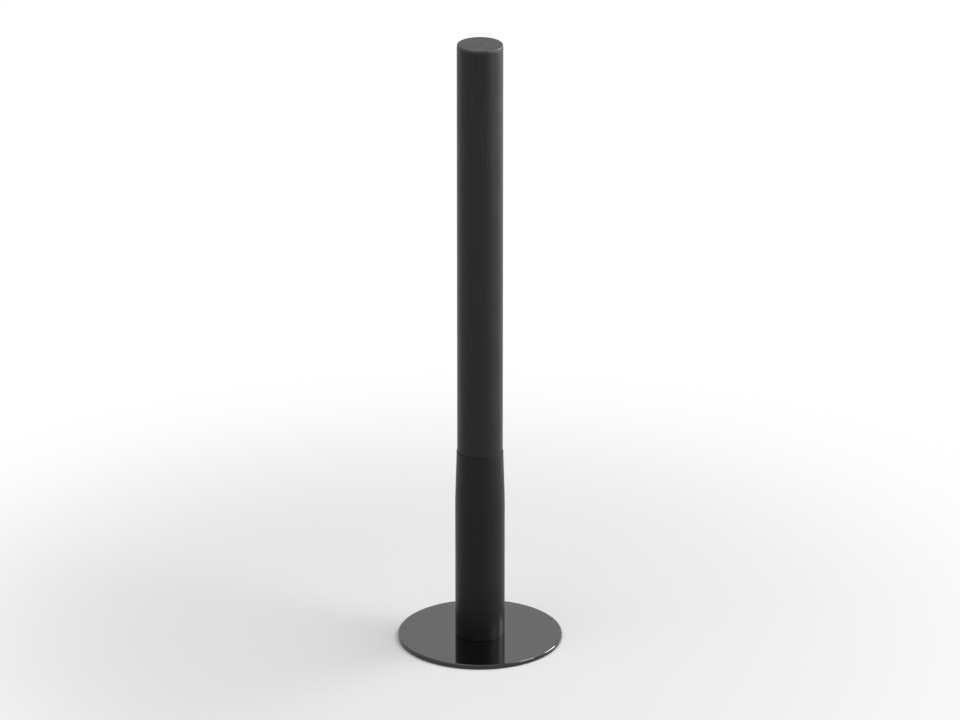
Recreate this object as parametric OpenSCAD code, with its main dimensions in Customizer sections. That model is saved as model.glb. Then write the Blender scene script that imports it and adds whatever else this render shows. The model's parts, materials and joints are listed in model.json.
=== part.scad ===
// Speaker pole: a short two-part pole that carries a column speaker above a
// subwoofer. A threaded stud and a round base disc hold it on the cabinet below,
// and the upper tube fits the socket of the speaker above. The upper tube
// telescopes in the lower tube and is held by a twist lock hidden inside.
// The origin is on the pole's axis, in the plane where the base pad rests.

/* [Base disc] */
// Diameter of the round base disc
disc_d = 127; // [110:1:180]
// Thickness of the base disc
disc_t = 3; // [2.6:0.1:6]
// Radius of the disc's rounded upper edge
disc_edge_r = 1; // [0.2:0.1:1.5]
// Thickness of the rubber pad under the disc
pad_t = 0.8; // [0.5:0.1:2]
// Distance from the disc's edge in to the pad's edge
pad_inset = 2; // [1:0.5:8]
// Width of the free ring between the screw heads and the pad's hole
pad_hole_margin = 1.5; // [0.5:0.25:5]

/* [Disc screws] */
// Number of screws from the disc up into the foot plug
screw_count = 4; // [3:1:6]
// Thread diameter of a disc screw
screw_d = 4; // [3:0.5:4]
// Head diameter of a disc screw
screw_head_d = 7.6; // [6.5:0.1:7.8]
// Height of the straight rim around a countersunk head
screw_rim_h = 0.3; // [0.2:0.1:0.5]
// Length of a disc screw, head included
screw_l = 14; // [8:1:18]
// Distance from the pole's axis to a screw's axis
screw_circle_r = 14; // [13.6:0.1:14.4]
// Width across the flats of a disc screw's hexagon socket
screw_key = 2.5; // [2:0.5:3]
// Depth of a disc screw's hexagon socket
screw_key_depth = 1.5; // [1:0.1:2]

/* [Mounting stud] */
// Thread diameter of the stud's free end
stud_d = 20; // [16:1:20]
// Thread pitch of the stud's free end
stud_pitch = 2.5; // [1.5:0.25:2.5]
// Length of the stud below the pad
stud_l = 30; // [20:1:40]
// Height of the bevel at the stud's free end
stud_bevel = 1.5; // [1:0.25:3]
// How much smaller the stud's locating collar is than its free thread, in diameter
collar_step = 1; // [0.5:0.25:2]
// Thread diameter of the stud's end inside the foot plug
tail_d = 16; // [12:1:17]
// Thread pitch of the stud's end inside the foot plug
tail_pitch = 2; // [1:0.25:2]
// Thickness of the lock washer
washer_t = 2.5; // [1.5:0.25:4]
// Outer diameter of the lock washer
washer_d = 25; // [22:0.5:28]
// Width of the lock washer's split
washer_split = 2; // [1:0.25:3]
// Thickness of the stud's nut
nut_t = 8; // [6:0.5:12]
// Width of the stud's nut across the flats
nut_key = 24; // [22:1:27]

/* [Lower tube] */
// Outer diameter of the lower tube
lower_d = 38.2; // [37.5:0.1:42]
// Length of the lower tube above the disc
lower_l = 152; // [140:1:220]
// Length of the taper at the lower tube's upper end
taper_l = 40; // [10:1:60]
// Wall of the lower tube at its lip
lip_wall = 0.4; // [0.3:0.05:1]
// Length of the foot plug in the lower tube
foot_plug_l = 20; // [18:1:30]
// Thickness of the rubber stop that the upper tube comes down on
buffer_t = 6; // [5:0.5:12]
// Diameter of the hole in the rubber stop
buffer_hole_d = 14; // [12:0.5:18]

/* [Upper tube] */
// Outer diameter of the upper tube
upper_d = 35; // [34:0.1:35.5]
// Wall of the upper tube
upper_wall = 2; // [1.5:0.1:2.5]
// Length of the upper tube that stands above the lip when it is fully down
upper_above = 326; // [200:1:450]
// How much smaller in diameter the sliding length of the upper tube is
slide_step = 0.1; // [0.05:0.05:0.2]
// Greatest height that the upper tube may be raised, where its limit groove meets the lip
raise_max = 60; // [20:1:65]
// Width of the grooves around the upper tube at the seam and at the height limit
groove_w = 0.8; // [0.4:0.1:2]
// Depth of the grooves around the upper tube
groove_depth = 0.3; // [0.1:0.05:0.6]
// Bevel at the upper tube's ends
upper_bevel = 0.4; // [0.2:0.1:1]
// Thickness of the top cap's head
cap_t = 2; // [1:0.25:4]
// How much smaller in diameter the top cap's head is than the upper tube
cap_step = 0.4; // [0.2:0.1:1]
// Radius of the top cap's rounded edge
cap_edge_r = 0.8; // [0.2:0.1:0.9]
// Length of the top cap's skirt inside the upper tube
cap_skirt_l = 14; // [8:1:30]
// Wall of the top cap's skirt
cap_wall = 1.6; // [1:0.1:3]

/* [Twist lock] */
// Thread diameter of the lock's spindle
spindle_d = 12; // [10:0.5:13]
// Thread pitch of the lock's spindle
spindle_pitch = 1.75; // [1:0.25:2]
// Length of the spindle that stands out above its plug
spindle_tail = 3; // [1:0.5:6]
// Bevel at the spindle's ends
spindle_bevel = 1; // [0.5:0.25:1.5]
// Thickness of the flange at the foot of the spindle plug
plug_flange_t = 2; // [1.5:0.25:4]
// Length of the spindle plug inside the upper tube
plug_l = 24; // [20:1:40]
// Diameter of the cross pins
pin_d = 4; // [3:0.25:5]
// Height of the lower cross pin above the plug's flange
pin_height = 8; // [6:0.5:9]
// Rise from the lower cross pin to the upper one
pin_rise = 8; // [6:0.5:9]
// How far the cross pins' ends lie below the tube's surface
pin_recess = 0.3; // [0.2:0.05:0.6]
// Length of the expander sleeve
sleeve_l = 24; // [22:0.5:30]
// Height of the closed ring at the top of the expander sleeve
sleeve_ring_h = 6; // [5:0.5:8]
// Number of slots in the expander sleeve
slot_count = 4; // [3:1:6]
// Width of a slot in the expander sleeve
slot_w = 2.6; // [2:0.1:4]
// Diameter of the drag ring's rubber cord
drag_cord_d = 1.8; // [1.5:0.1:2.2]
// Length of the cone nut
cone_l = 13; // [10:0.5:14]
// Diameter of the cone nut's wide end
cone_d = 28; // [26:0.5:29]
// Slope of the cone nut's side from the axis, in degrees
cone_angle = 12; // [8:1:15]
// Turn of the upper tube that locks the sleeve, in degrees
lock_turn = 180; // [90:15:270]
// Thickness of the thrust washer above the sleeve
thrust_t = 1; // [0.8:0.1:2]
// Thickness of the end washer under the sleeve
end_washer_t = 2; // [1.5:0.25:3]
// Diameter of the end washer
end_washer_d = 30; // [24:0.5:33]
// Thread diameter of the end screw
end_screw_d = 6; // [4:0.5:6]
// Length of the end screw's thread
end_screw_l = 14; // [8:1:18]
// Head diameter of the end screw
end_head_d = 10; // [8:0.5:11]
// Head height of the end screw
end_head_h = 3.5; // [2.5:0.25:4]
// Radius of the end screw's rounded head
end_head_edge_r = 1.2; // [0.5:0.1:2]
// Width across the flats of the end screw's hexagon socket
end_key = 4; // [3:0.5:4]
// Depth of the end screw's hexagon socket
end_key_depth = 1.75; // [1:0.25:2]

/* [Clearances] */
// Radial clearance of the pieces that slide and turn in the lower tube
slide_clear = 0.08; // [0.03:0.01:0.1]
// Radial clearance of fixed round pieces in their seats
seat_clear = 0.02; // [0.01:0.01:0.05]
// Radial clearance of a screw in a plain hole
hole_clear = 0.2; // [0.1:0.05:0.4]
// Gap around the parts of the lock that move past each other
lock_gap = 0.3; // [0.2:0.05:0.5]
// Radial gap between the rubber stop and the lower tube
buffer_gap = 0.3; // [0.1:0.1:1]

/* [Hidden] */
$fn = 96;
// Overlap of a cutting shape past the face that it opens
cut = 0.5;
// A hexagon's corner circle is this many times as wide as its flats
hex_ratio = 1 / cos(30);
// Shares of a thread's pitch: depth of the groove, flat at its crest, flat at its root
thread_depth = 0.541;
thread_crest = 1 / 8;
thread_root = 1 / 4;

// Radii of the tubes and of what slides in them
upper_r = upper_d / 2;
slide_r = upper_r - slide_step / 2;
bore_r = slide_r + slide_clear;
lower_r = lower_d / 2;
upper_bore_r = upper_r - upper_wall;
seat_r = upper_bore_r - seat_clear;

// Heights of the base, from the resting plane up
disc_bottom_z = pad_t;
disc_top_z = disc_bottom_z + disc_t;
foot_top_z = disc_top_z + foot_plug_l;
washer_top_z = foot_top_z + washer_t;
nut_top_z = washer_top_z + nut_t;
buffer_top_z = nut_top_z + buffer_t;
lip_z = disc_top_z + lower_l;

// Heights of the lock and the upper tube when it is down on its stop
spindle_z = buffer_top_z + end_washer_t;
sleeve_z = spindle_z + lock_gap;
sleeve_top_z = sleeve_z + sleeve_l;
flange_z = sleeve_top_z + thrust_t;
upper_z = flange_z + plug_flange_t;
upper_top_z = lip_z + upper_above;
limit_z = lip_z - raise_max;
plug_top_z = upper_z + plug_l;
spindle_top_z = plug_top_z + spindle_tail;

// The lock's thread drives the cone nut up by its travel in one locking turn
cone_travel = spindle_pitch * lock_turn / 360;
cone_z = spindle_z + lock_gap;
cone_slope = tan(cone_angle);
cone_r = cone_d / 2;
cone_tip_r = cone_r - cone_l * cone_slope;
// Radial gap around the cone that the locking turn narrows to the lock's gap
cone_gap = lock_gap + cone_travel * cone_slope;
spindle_r = spindle_d / 2;
slot_top_z = sleeve_top_z - sleeve_ring_h;
key_w = slot_w - 2 * lock_gap;
key_r = slide_r - 2 * lock_gap;
drag_seat_r = slide_r - drag_cord_d;
drag_r = drag_seat_r + seat_clear + drag_cord_d / 2;
drag_z = sleeve_top_z - sleeve_ring_h / 2;

// Radii of the stud, and of the pad's hole that clears it and the screws
stud_r = stud_d / 2;
collar_r = stud_r - collar_step / 2;
tail_r = tail_d / 2;
screw_r = screw_d / 2;
screw_head_r = screw_head_d / 2;
screw_cone_h = screw_head_r - screw_r;
pad_hole_r = screw_circle_r + screw_head_r + pad_hole_margin;
end_screw_r = end_screw_d / 2;
pin_r = pin_d / 2;
pin_l = 2 * (slide_r - pin_recess);

// Half outline of one groove of a thread, as a ring around the axis
function groove(r, pitch, middle) = [
    [r, middle - pitch * (1 - thread_crest) / 2],
    [r - pitch * thread_depth, middle - pitch * thread_root / 2],
    [r - pitch * thread_depth, middle + pitch * thread_root / 2],
    [r, middle + pitch * (1 - thread_crest) / 2]
];

// Whole grooves that fit on a threaded length
function groove_count(pitch, low, high) = floor((high - low) / pitch);

// Outline of a threaded length, with one groove for each pitch, from its lower end up
function thread_side(r, pitch, low, high) = [
    for (i = [0 : groove_count(pitch, low, high) - 1])
        each groove(r, pitch, low + pitch * (i + 0.5))
];

// A disc or rod on the axis whose upper edge is rounded
module round_top(r, h, edge) {
    rotate_extrude() {
        square([r - edge, h]);
        square([r, h - edge]);
        translate([r - edge, h - edge]) circle(edge);
    }
}

// A plain tube on the axis
module ring(outer_r, inner_r, h) {
    difference() {
        cylinder(h = h, r = outer_r);
        translate([0, 0, -cut]) cylinder(h = h + 2 * cut, r = inner_r);
    }
}

// Copies of a shape in a circle around the pole's axis
module around(count, r) {
    for (i = [0 : count - 1]) {
        rotate([0, 0, 360 * i / count]) translate([r, 0, 0]) children();
    }
}

// A hexagonal prism with the given width across its flats
module hexagon(key, h) {
    cylinder(h = h, d = key * hex_ratio, $fn = 6);
}

// Countersunk screw with its head's face at zero and its thread going up
module countersunk(grow) {
    cylinder(h = screw_rim_h, r = screw_head_r + grow);
    translate([0, 0, screw_rim_h])
        cylinder(h = screw_cone_h, r1 = screw_head_r + grow, r2 = screw_r + grow);
}

// Round steel disc that spreads the load on the cabinet's top
module base_disc() {
    color([0.05, 0.05, 0.055])
    translate([0, 0, disc_bottom_z])
    difference() {
        round_top(disc_d / 2, disc_t, disc_edge_r);
        translate([0, 0, -cut]) cylinder(h = disc_t + 2 * cut, r = collar_r + hole_clear);
        around(screw_count, screw_circle_r) {
            countersunk(seat_clear);
            translate([0, 0, -cut]) cylinder(h = disc_t + 2 * cut, r = screw_r + hole_clear);
        }
    }
}

// Thin rubber ring stuck under the disc
module base_pad() {
    color([0.12, 0.12, 0.12]) ring(disc_d / 2 - pad_inset, pad_hole_r, pad_t);
}

// Countersunk screws that hold the disc to the foot plug
module disc_screws() {
    color([0.6, 0.6, 0.62])
    translate([0, 0, disc_bottom_z])
    around(screw_count, screw_circle_r)
    difference() {
        union() {
            countersunk(0);
            cylinder(h = screw_l, r = screw_r);
        }
        translate([0, 0, -cut]) hexagon(screw_key, screw_key_depth + cut);
    }
}

// Threaded stud: the free end screws into the cabinet, the tail into the foot plug
module mount_stud() {
    color([0.7, 0.7, 0.72])
    rotate_extrude()
    polygon(concat(
        [[0, -stud_l], [stud_r - stud_bevel, -stud_l], [stud_r, -stud_l + stud_bevel]],
        thread_side(stud_r, stud_pitch, -stud_l + stud_bevel, 0),
        [[stud_r, 0], [collar_r, 0], [collar_r, disc_top_z], [tail_r, disc_top_z]],
        thread_side(tail_r, tail_pitch, disc_top_z, nut_top_z),
        [[tail_r, nut_top_z], [0, nut_top_z]]
    ));
}

// Plug in the foot of the lower tube, tapped for the stud and the disc screws
module foot_plug() {
    color([0.65, 0.65, 0.67])
    translate([0, 0, disc_top_z])
    difference() {
        ring(bore_r - seat_clear, tail_r + seat_clear, foot_plug_l);
        around(screw_count, screw_circle_r)
            translate([0, 0, -cut]) cylinder(h = screw_l - disc_t + 2 * cut, r = screw_r + seat_clear);
    }
}

// Split spring washer under the stud's nut
module lock_washer() {
    color([0.55, 0.55, 0.57])
    translate([0, 0, foot_top_z])
    difference() {
        ring(washer_d / 2, tail_r + hole_clear, washer_t);
        translate([0, -washer_split / 2, -cut])
            cube([washer_d, washer_split, washer_t + 2 * cut]);
    }
}

// Thin nut that locks the stud in the foot plug
module stud_nut() {
    color([0.6, 0.6, 0.62])
    translate([0, 0, washer_top_z])
    difference() {
        intersection() {
            hexagon(nut_key, nut_t);
            cylinder(h = nut_t, r1 = nut_key / 2 + nut_t, r2 = nut_key / 2);
            cylinder(h = nut_t, r1 = nut_key / 2, r2 = nut_key / 2 + nut_t);
        }
        translate([0, 0, -cut]) cylinder(h = nut_t + 2 * cut, r = tail_r + seat_clear);
    }
}

// Rubber ring that the upper tube's lock comes down on
module stop_buffer() {
    color([0.1, 0.1, 0.1])
    translate([0, 0, nut_top_z]) ring(bore_r - buffer_gap, buffer_hole_d / 2, buffer_t);
}

// Lower tube, tapered outside towards its lip
module lower_tube() {
    color([0.06, 0.06, 0.065])
    rotate_extrude()
    polygon([
        [bore_r, disc_top_z], [lower_r, disc_top_z], [lower_r, lip_z - taper_l],
        [bore_r + lip_wall, lip_z], [bore_r, lip_z]
    ]);
}

// Outline of a groove around the upper tube, which leaves the tube with the given radius above it
function tube_groove(low, above_r) = [
    [slide_r, low],
    [slide_r - groove_depth, low],
    [slide_r - groove_depth, low + groove_w],
    [above_r, low + groove_w]
];

// Upper tube: its sliding length is a little smaller than the length that shows, with a
// groove between them, and a second groove that shows when the tube is raised to its limit
module upper_tube() {
    color([0.07, 0.07, 0.075])
    difference() {
        rotate_extrude()
        polygon(concat(
            [[upper_bore_r, upper_z], [slide_r - upper_bevel, upper_z], [slide_r, upper_z + upper_bevel]],
            tube_groove(limit_z, slide_r),
            tube_groove(lip_z, upper_r),
            [[upper_r, upper_top_z - upper_bevel], [upper_r - upper_bevel, upper_top_z]],
            [[upper_bore_r, upper_top_z]]
        ));
        cross_holes();
    }
}

// Plastic cap in the upper end of the upper tube
module top_cap() {
    color([0.09, 0.09, 0.09])
    difference() {
        union() {
            translate([0, 0, upper_top_z]) round_top(upper_r - cap_step / 2, cap_t, cap_edge_r);
            translate([0, 0, upper_top_z - cap_skirt_l]) cylinder(h = cap_skirt_l, r = seat_r);
        }
        translate([0, 0, upper_top_z - cap_skirt_l - cut])
            cylinder(h = cap_skirt_l + cut, r = seat_r - cap_wall);
    }
}

// The two crossed holes through the upper tube, its plug and the spindle
module cross_holes() {
    for (i = [0, 1]) {
        translate([0, 0, upper_z + pin_height + i * pin_rise])
            rotate([0, 90, 90 * i])
                cylinder(h = 2 * upper_r, r = pin_r + seat_clear, center = true);
    }
}

// Plug in the foot of the upper tube that carries the spindle
module spindle_plug() {
    color([0.7, 0.7, 0.72])
    difference() {
        union() {
            translate([0, 0, flange_z]) cylinder(h = plug_flange_t, r = slide_r - upper_bevel);
            translate([0, 0, upper_z]) cylinder(h = plug_l, r = seat_r);
        }
        translate([0, 0, flange_z - cut])
            cylinder(h = plug_top_z - flange_z + 2 * cut, r = spindle_r + seat_clear);
        cross_holes();
    }
}

// Crossed pins that fix the tube, its plug and the spindle to each other
module cross_pins() {
    color([0.5, 0.5, 0.52])
    for (i = [0, 1]) {
        translate([0, 0, upper_z + pin_height + i * pin_rise])
            rotate([0, 90, 90 * i])
                cylinder(h = pin_l, r = pin_r, center = true);
    }
}

// Threaded spindle that turns with the upper tube and drives the cone nut
module lock_spindle() {
    color([0.65, 0.65, 0.67])
    difference() {
        rotate_extrude()
        polygon(concat(
            [[0, spindle_z], [spindle_r - spindle_bevel, spindle_z], [spindle_r, spindle_z + spindle_bevel]],
            thread_side(spindle_r, spindle_pitch, spindle_z + spindle_bevel, slot_top_z),
            [[spindle_r, spindle_top_z - spindle_bevel], [spindle_r - spindle_bevel, spindle_top_z]],
            [[0, spindle_top_z]]
        ));
        translate([0, 0, spindle_z - cut])
            cylinder(h = end_screw_l - end_washer_t + 2 * cut, r = end_screw_r + seat_clear);
        cross_holes();
    }
}

// Plastic washer between the sleeve and the spindle plug
module thrust_washer() {
    color([0.85, 0.85, 0.8])
    translate([0, 0, sleeve_top_z]) ring(slide_r - 2 * upper_bevel, spindle_r + hole_clear, thrust_t);
}

// Slotted sleeve that the cone nut spreads against the lower tube
module expander_sleeve() {
    color([0.15, 0.15, 0.16])
    difference() {
        translate([0, 0, sleeve_z]) cylinder(h = sleeve_l, r = slide_r);
        translate([0, 0, sleeve_z - cut])
            cylinder(h = sleeve_l + 2 * cut, r = spindle_r + slide_clear);
        translate([0, 0, sleeve_z - cut])
            cylinder(
                h = slot_top_z - sleeve_z + cut,
                r1 = cone_r + cone_gap + (cone_z - sleeve_z + cut) * cone_slope,
                r2 = cone_r + cone_gap - (slot_top_z - cone_z) * cone_slope
            );
        around(slot_count, 0)
            translate([0, -slot_w / 2, sleeve_z - cut])
                cube([bore_r, slot_w, slot_top_z - sleeve_z + cut]);
        translate([0, 0, drag_z - drag_cord_d / 2 - seat_clear])
            ring(bore_r, drag_seat_r, drag_cord_d + 2 * seat_clear);
    }
}

// Rubber ring in the sleeve's groove that stops it turning while the lock is worked
module drag_ring() {
    color([0.08, 0.08, 0.08])
    translate([0, 0, drag_z]) rotate_extrude() translate([drag_r, 0]) circle(drag_cord_d / 2);
}

// Cone nut on the spindle, kept from turning by keys in the sleeve's slots
module cone_nut() {
    color([0.75, 0.72, 0.6])
    translate([0, 0, cone_z])
    difference() {
        union() {
            cylinder(h = cone_l, r1 = cone_r, r2 = cone_tip_r);
            around(slot_count, 0)
                translate([spindle_r + slide_clear, -key_w / 2, 0])
                    cube([key_r - spindle_r - slide_clear, key_w, cone_l]);
        }
        translate([0, 0, -cut]) cylinder(h = cone_l + 2 * cut, r = spindle_r + slide_clear);
    }
}

// Washer that keeps the cone nut and the sleeve on the spindle
module end_washer() {
    color([0.6, 0.6, 0.62])
    translate([0, 0, buffer_top_z]) ring(end_washer_d / 2, end_screw_r + hole_clear, end_washer_t);
}

// Screw in the spindle's lower end
module end_screw() {
    color([0.55, 0.55, 0.57])
    difference() {
        union() {
            translate([0, 0, buffer_top_z]) cylinder(h = end_screw_l, r = end_screw_r);
            translate([0, 0, buffer_top_z]) mirror([0, 0, 1])
                round_top(end_head_d / 2, end_head_h, end_head_edge_r);
        }
        translate([0, 0, buffer_top_z - end_head_h - cut]) hexagon(end_key, end_key_depth + cut);
    }
}

base_disc();
base_pad();
disc_screws();
mount_stud();
foot_plug();
lock_washer();
stud_nut();
stop_buffer();
lower_tube();
upper_tube();
top_cap();
spindle_plug();
cross_pins();
lock_spindle();
thrust_washer();
expander_sleeve();
drag_ring();
cone_nut();
end_washer();
end_screw();
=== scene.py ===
"""Speaker pole: the surfaces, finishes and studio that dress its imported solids.

Each piece is one surface worked out as whole arrays, mostly an outline turned around the
pole's axis. Shapes are worked out in millimetres and turned to metres when a mesh is made.
Z points up the pole, and the base pad rests at zero.
"""

import json
from functools import partial
from math import cos, radians, sin

import bmesh
import bpy
import numpy as np
from bpy.props import FloatProperty, FloatVectorProperty, IntProperty, PointerProperty
from bpy.types import Operator, Panel, PropertyGroup
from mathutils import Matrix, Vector


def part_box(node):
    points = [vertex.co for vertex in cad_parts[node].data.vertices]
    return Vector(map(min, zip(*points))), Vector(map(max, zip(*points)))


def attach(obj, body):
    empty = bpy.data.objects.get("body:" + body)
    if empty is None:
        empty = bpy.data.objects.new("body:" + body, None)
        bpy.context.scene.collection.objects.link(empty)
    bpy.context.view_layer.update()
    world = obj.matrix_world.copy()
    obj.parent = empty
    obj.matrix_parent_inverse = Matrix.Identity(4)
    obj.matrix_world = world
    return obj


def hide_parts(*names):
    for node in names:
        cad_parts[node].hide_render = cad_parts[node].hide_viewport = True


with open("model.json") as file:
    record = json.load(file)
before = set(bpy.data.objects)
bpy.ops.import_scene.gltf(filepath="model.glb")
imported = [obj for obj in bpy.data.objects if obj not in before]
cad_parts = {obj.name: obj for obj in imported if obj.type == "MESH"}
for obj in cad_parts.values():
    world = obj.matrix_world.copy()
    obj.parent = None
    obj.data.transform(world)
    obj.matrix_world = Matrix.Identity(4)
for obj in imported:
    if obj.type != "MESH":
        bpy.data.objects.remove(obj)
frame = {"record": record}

bl_info = {
    "name": "Speaker Pole",
    "version": (1, 0, 0),
    "blender": (4, 5, 0),
    "location": "3D View > Sidebar > Speaker Pole",
    "description": "Builds a telescoping speaker pole with its hidden twist lock",
    "category": "Object",
}

MM = 0.001
TURN = 2 * np.pi
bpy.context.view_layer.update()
BODIES = frame["record"]["behaviour"]["bodies"]
BODY_OF = {node: body for body, nodes in BODIES.items() for node in nodes}
SLOT_OF = {part["node"]: part["material_slot"] for part in frame["record"]["subparts"]}

# Clearances in millimetres
HOLE_CLEAR = 0.2
SEAT_CLEAR = 0.02
SLIDE_CLEAR = 0.08
KEY_CLEAR = 0.3

# Sizes of the solids in millimetres that their boxes don't give
SLIDE_R = 17.45
BORE_R = SLIDE_R + SLIDE_CLEAR
LIP_WALL = 0.4
TAPER_L = 40.0
UPPER_BORE_R = 15.5
UPPER_BEVEL = 0.4
PRESSED_R = UPPER_BORE_R - SEAT_CLEAR
GROOVE_W = 0.8
GROOVE_DEPTH = 0.3
RAISE_MAX = 60.0
PAD_HOLE_R = 19.3
COLLAR_R = 9.5
STUD_BEVEL = 1.5
STUD_PITCH = 2.5
TAIL_R = 8.0
TAIL_PITCH = 2.0
SCREW_COUNT = 4
SCREW_CIRCLE_R = 14.0
SCREW_HEAD_R = 3.8
SCREW_RIM_H = 0.3
SCREW_R = 2.0
SCREW_PITCH = 0.7
SCREW_KEY = 2.5
SCREW_KEY_DEPTH = 1.5
WASHER_SPLIT = 2.0
NUT_KEY = 24.0
BUFFER_HOLE_R = 7.0
CAP_WALL = 1.6
CAP_HEAD_T = 2.0
SPINDLE_R = 6.0
SPINDLE_PITCH = 1.75
SPINDLE_BEVEL = 1.0
SPINDLE_HOLE_DEPTH = 12.5
PLUG_FLANGE_T = 2.0
PIN_R = 2.0
PIN_SPACING = 8.0
SLEEVE_RING_H = 6.0
SLEEVE_MOUTH_R = 14.486
SLEEVE_SLOT_W = 2.6
SLOT_COUNT = 4
CORD_R = 0.9
CORD_SEAT_R = SLIDE_R - 2 * CORD_R
CONE_SLOPE = np.tan(radians(12))
CONE_R = 14.0
CONE_KEY_R = SLIDE_R - 2 * KEY_CLEAR
CONE_KEY_W = SLEEVE_SLOT_W - 2 * KEY_CLEAR
END_HEAD_R = 5.0
END_HEAD_H = 3.5
END_SCREW_R = 3.0
END_SCREW_PITCH = 1.0
END_KEY = 4.0
END_KEY_DEPTH = 1.75

# Fine sizes in millimetres that the solids leave out
STUD_LAND = 0.4
TAIL_BEVEL = 1.0
SCREW_BEVEL = 0.4
END_SCREW_BEVEL = 0.6
END_SCREW_NECK = 0.2
NUT_BEVEL_H = 1.6
NUT_FACE_INSET = 0.4
GATE_R = 1.6
GATE_FLOOR_R = 1.2
GATE_DEPTH = 0.25
CONE_KEY_ROOT_R = 11.2
CONE_BEVEL = 0.25
CONE_END = 1.0

# Slopes of the nut's bevel and of the split in its washer
NUT_BEVEL_SLOPE = 1.732
SPLIT_LEAN = 0.35

# Shares of a thread's pitch
THREAD_DEPTH = 0.541
THREAD_CREST = 1 / 8
THREAD_ROOT = 1 / 4

# Divisions around small pieces and the floor. A hexagon's corners need a multiple of six.
SCREW_COLUMNS = 42
END_SCREW_COLUMNS = 72
NUT_COLUMNS = 120
SINK_COLUMNS = 48
HOLE_COLUMNS = 32
PIN_COLUMNS = 40
CORD_COLUMNS = 24
SPLIT_COLUMNS = 97
FLOOR_COLUMNS = 96

# Columns in a quarter of the cone nut at which its key's corners lie
KEY_COLUMNS = (0, 4, 12, 36, 44)

# Rows in a disc screw's pitch, in the nut's bevel, along the cone and across the floor
SCREW_ROWS = 12
NUT_BEVEL_ROWS = 14
CONE_ROWS = 12
FLOOR_ROWS = 24

# How far cuts reach, and what counts as a sliver or as one spot, in millimetres
CUT_PAST = 1.0
HOLE_SPARE = 0.5
PIN_HOLE_REACH = 25.0
SLOT_REACH = (5.0, 20.0)
SLIVER = 0.003
SAME_SPOT = 0.0002

# Shares: an edge's of its sides, a flat's of its edge, and an added point's gap of a step
EDGE_SHARE = 0.4
FLAT_SHARE = 0.15
GAP_SHARE = 0.3

# Smallest divisor, and the angle from which an edge is sharp
TINY = 1e-6
SHARP_ANGLE = radians(32)

# Where most of a noise lies between 0 and 1
NOISE_RANGE = (0.3, 0.7)

# Stage: white, the floor in millimetres, and its fade's start, lamps and camera in metres
WHITE = (1.0, 1.0, 1.0, 1.0)
FLOOR_RIMS = (70.0, 3000.0)
FLOOR_DROP = 0.05
OPENING_MARGIN = 1.0
FADE_START = 0.17
LAMP_REACH = 2.2
LAMP_AIM_HEIGHT = 0.2
CAMERA_SIGHT = 50.0


ColourProperty = partial(FloatVectorProperty, size=3, min=0, max=1, subtype="COLOR")


class PoleShape(PropertyGroup):
    """Sizes of the pole's rounded edges, and how finely its surfaces are divided"""

    columns: IntProperty(
        name="Divisions Around", description="Faces around a turned surface",
        default=144, min=48, max=384)
    thread_rows: IntProperty(
        name="Rows in a Thread", description="Rows of faces in one pitch of a thread",
        default=16, min=8, max=32)
    disc_edge: FloatProperty(
        name="Disc Edge", description="Radius of the base disc's rounded upper edge",
        default=0.001, min=0.0002, max=0.0014, unit="LENGTH")
    disc_fine_edge: FloatProperty(
        name="Disc Fine Edge", description="Radius of the base disc's lower and inner edges",
        default=0.0002, min=0.00005, max=0.0004, unit="LENGTH")
    taper_blend: FloatProperty(
        name="Taper Blend", description="Radius where the lower tube's side turns into its taper",
        default=0.4, min=0.0, max=1.0, unit="LENGTH")
    stop_edge: FloatProperty(
        name="Stop Edge", description="Radius of the rubber stop's edges",
        default=0.0006, min=0.0001, max=0.0008, unit="LENGTH")


class PoleFinish(PropertyGroup):
    """Colours and gloss of the pole's materials"""

    upper_coat: ColourProperty(
        name="Upper Coat", description="Colour of the upper tube's satin coat",
        default=(0.0072, 0.0073, 0.0076))
    lower_coat: ColourProperty(
        name="Lower Coat", description="Colour of the lower tube's satin coat",
        default=(0.0062, 0.0063, 0.0066))
    coat_roughness: FloatProperty(
        name="Coat Roughness", description="Roughness of the tubes' satin coats",
        default=0.4, min=0.1, max=0.9, subtype="FACTOR")
    lacquer: ColourProperty(
        name="Gloss Lacquer", description="Colour of the base disc's lacquer",
        default=(0.0028, 0.0028, 0.003))
    rubber: ColourProperty(
        name="Rubber", description="Colour of the pad, the stop and the drag ring",
        default=(0.02, 0.02, 0.02))
    plastic: ColourProperty(
        name="Black Plastic", description="Colour of the cap and the sleeve",
        default=(0.02, 0.02, 0.021))
    nylon: ColourProperty(
        name="Pale Plastic", description="Colour of the thrust washer",
        default=(0.8, 0.79, 0.74))
    zinc: ColourProperty(
        name="Zinc Plating", description="Colour of the plated screws, stud, nut and washers",
        default=(0.62, 0.63, 0.65))
    aluminium: ColourProperty(
        name="Turned Aluminium", description="Colour of the two plugs",
        default=(0.78, 0.79, 0.8))
    brass: ColourProperty(
        name="Brass", description="Colour of the cone nut",
        default=(0.78, 0.6, 0.3))


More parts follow.
